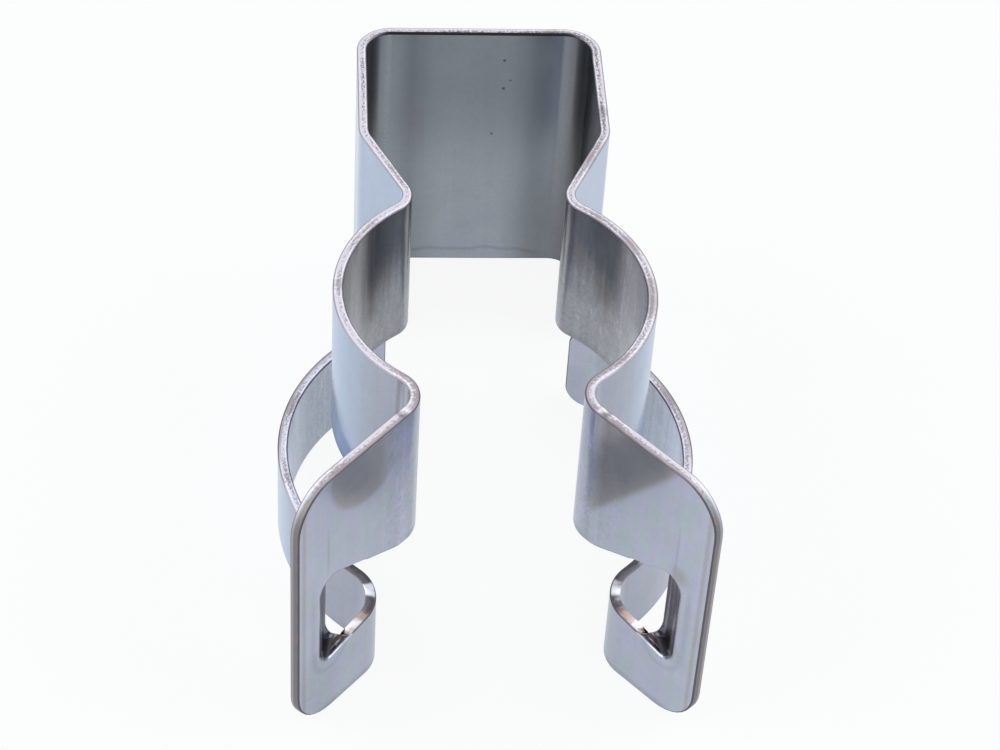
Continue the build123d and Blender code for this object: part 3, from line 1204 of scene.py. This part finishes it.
camera_data = bpy.data.cameras.new("product_camera")
camera_data.sensor_width = SENSOR
camera_data.lens = FOCAL_PIXELS * SENSOR / PICTURE[0]
camera_data.clip_start = 0.01
camera_data.clip_end = 20
camera = in_scene("product_camera", camera_data)
camera.matrix_world = Matrix.Translation(AIM_POINT - to_world @ aim_in_view) @ to_world.to_4x4()
bpy.context.scene.camera = camera
print("camera at", [round(c / MM, 1) for c in camera.matrix_world.translation])

# %% [markdown]
# The clip stands on a pale floor in a white room. Both show as white to the camera, and
# metal mirrors some of that white too, but the floor still takes the clip's soft shadow.

# %% Pale floor
HALF_FLOOR = 1.5
WHITE = (1, 1, 1, 1)
PAPER = (0.92, 0.92, 0.92, 1)
SKY = (0.92, 0.96, 1.0, 1)
SKY_LIGHT = 0.4
WHITE_SEEN = 0.9
WHITE_MIRRORED = 0.5

corners = ((-1, -1), (1, -1), (1, 1), (-1, 1))
floor_corners = [(x * HALF_FLOOR, y * HALF_FLOOR, 0) for x, y in corners]
floor_mesh = bpy.data.meshes.new("pale_floor")
floor_mesh.from_pydata(floor_corners, [], [(0, 1, 2, 3)])
pale_floor = in_scene("pale_floor", floor_mesh)

floor_finish, board = new_finish("pale_paper")
paper = board.add("ShaderNodeBsdfPrincipled", Base_Color=PAPER, Metallic=0.0, Roughness=1.0)
glow = board.add("ShaderNodeEmission", Color=WHITE, Strength=1.0)
seen_by = board.add("ShaderNodeLightPath")
mirrored = seen_by["Is Glossy Ray"] + seen_by["Is Transmission Ray"]
share = seen_by["Is Camera Ray"] * WHITE_SEEN + mirrored * WHITE_MIRRORED
blend = board.add("ShaderNodeMixShader", Fac=share, Shader=paper[0], Shader_001=glow[0])
board.add("ShaderNodeOutputMaterial", Surface=blend[0])
floor_mesh.materials.append(floor_finish)
print("floor", 2 * HALF_FLOOR, "m wide")

# %% The white room
world = bpy.data.worlds.new("white_room")
world.use_nodes = True
board = Board(world.node_tree)
seen_by = board.add("ShaderNodeLightPath")
shown = seen_by["Is Camera Ray"] + seen_by["Is Glossy Ray"] + seen_by["Is Transmission Ray"]
lit = board.add("ShaderNodeBackground", Color=SKY, Strength=SKY_LIGHT)
seen = board.add("ShaderNodeBackground", Color=WHITE, Strength=1.0)
room = board.add("ShaderNodeMixShader", Fac=shown, Shader=lit[0], Shader_001=seen[0])
board.add("ShaderNodeOutputWorld", Surface=room[0])
bpy.context.scene.world = world
print("room light", SKY_LIGHT)

# %% [markdown]
# Metal shows what stands round it, so the lamps are large and soft. Two stand at the
# sides, which brightens the outer faces and leaves the channel and the jaws darker, and
# a weak one hangs overhead for the sheared edges.

# %% Lamps
def soft_lamp(name, place, aim, size, power, colour=(1, 1, 1)):
    lamp_data = bpy.data.lights.new(name, "AREA")
    lamp_data.shape = "RECTANGLE"
    lamp_data.size, lamp_data.size_y = size
    lamp_data.energy = power
    lamp_data.color = colour
    lamp = in_scene(name, lamp_data)
    lamp.location = place
    lamp.rotation_euler = (Vector(aim) - Vector(place)).to_track_quat("-Z", "Y").to_euler()
    print("lamp", name, power, "W")

GRIP = (0, axis_y, 12 * MM)
DAYLIGHT = (0.86, 0.94, 1.0)
soft_lamp("overhead", (0.05, 0.12, 0.6), GRIP, (0.5, 0.5), 0.3)
soft_lamp("from_the_left", (-0.52, -0.05, 0.38), GRIP, (0.7, 0.5), 2.3, DAYLIGHT)
soft_lamp("from_the_right", (0.52, 0.0, 0.38), GRIP, (0.7, 0.5), 2.1, DAYLIGHT)

bpy.context.scene.view_settings.view_transform = "Standard"
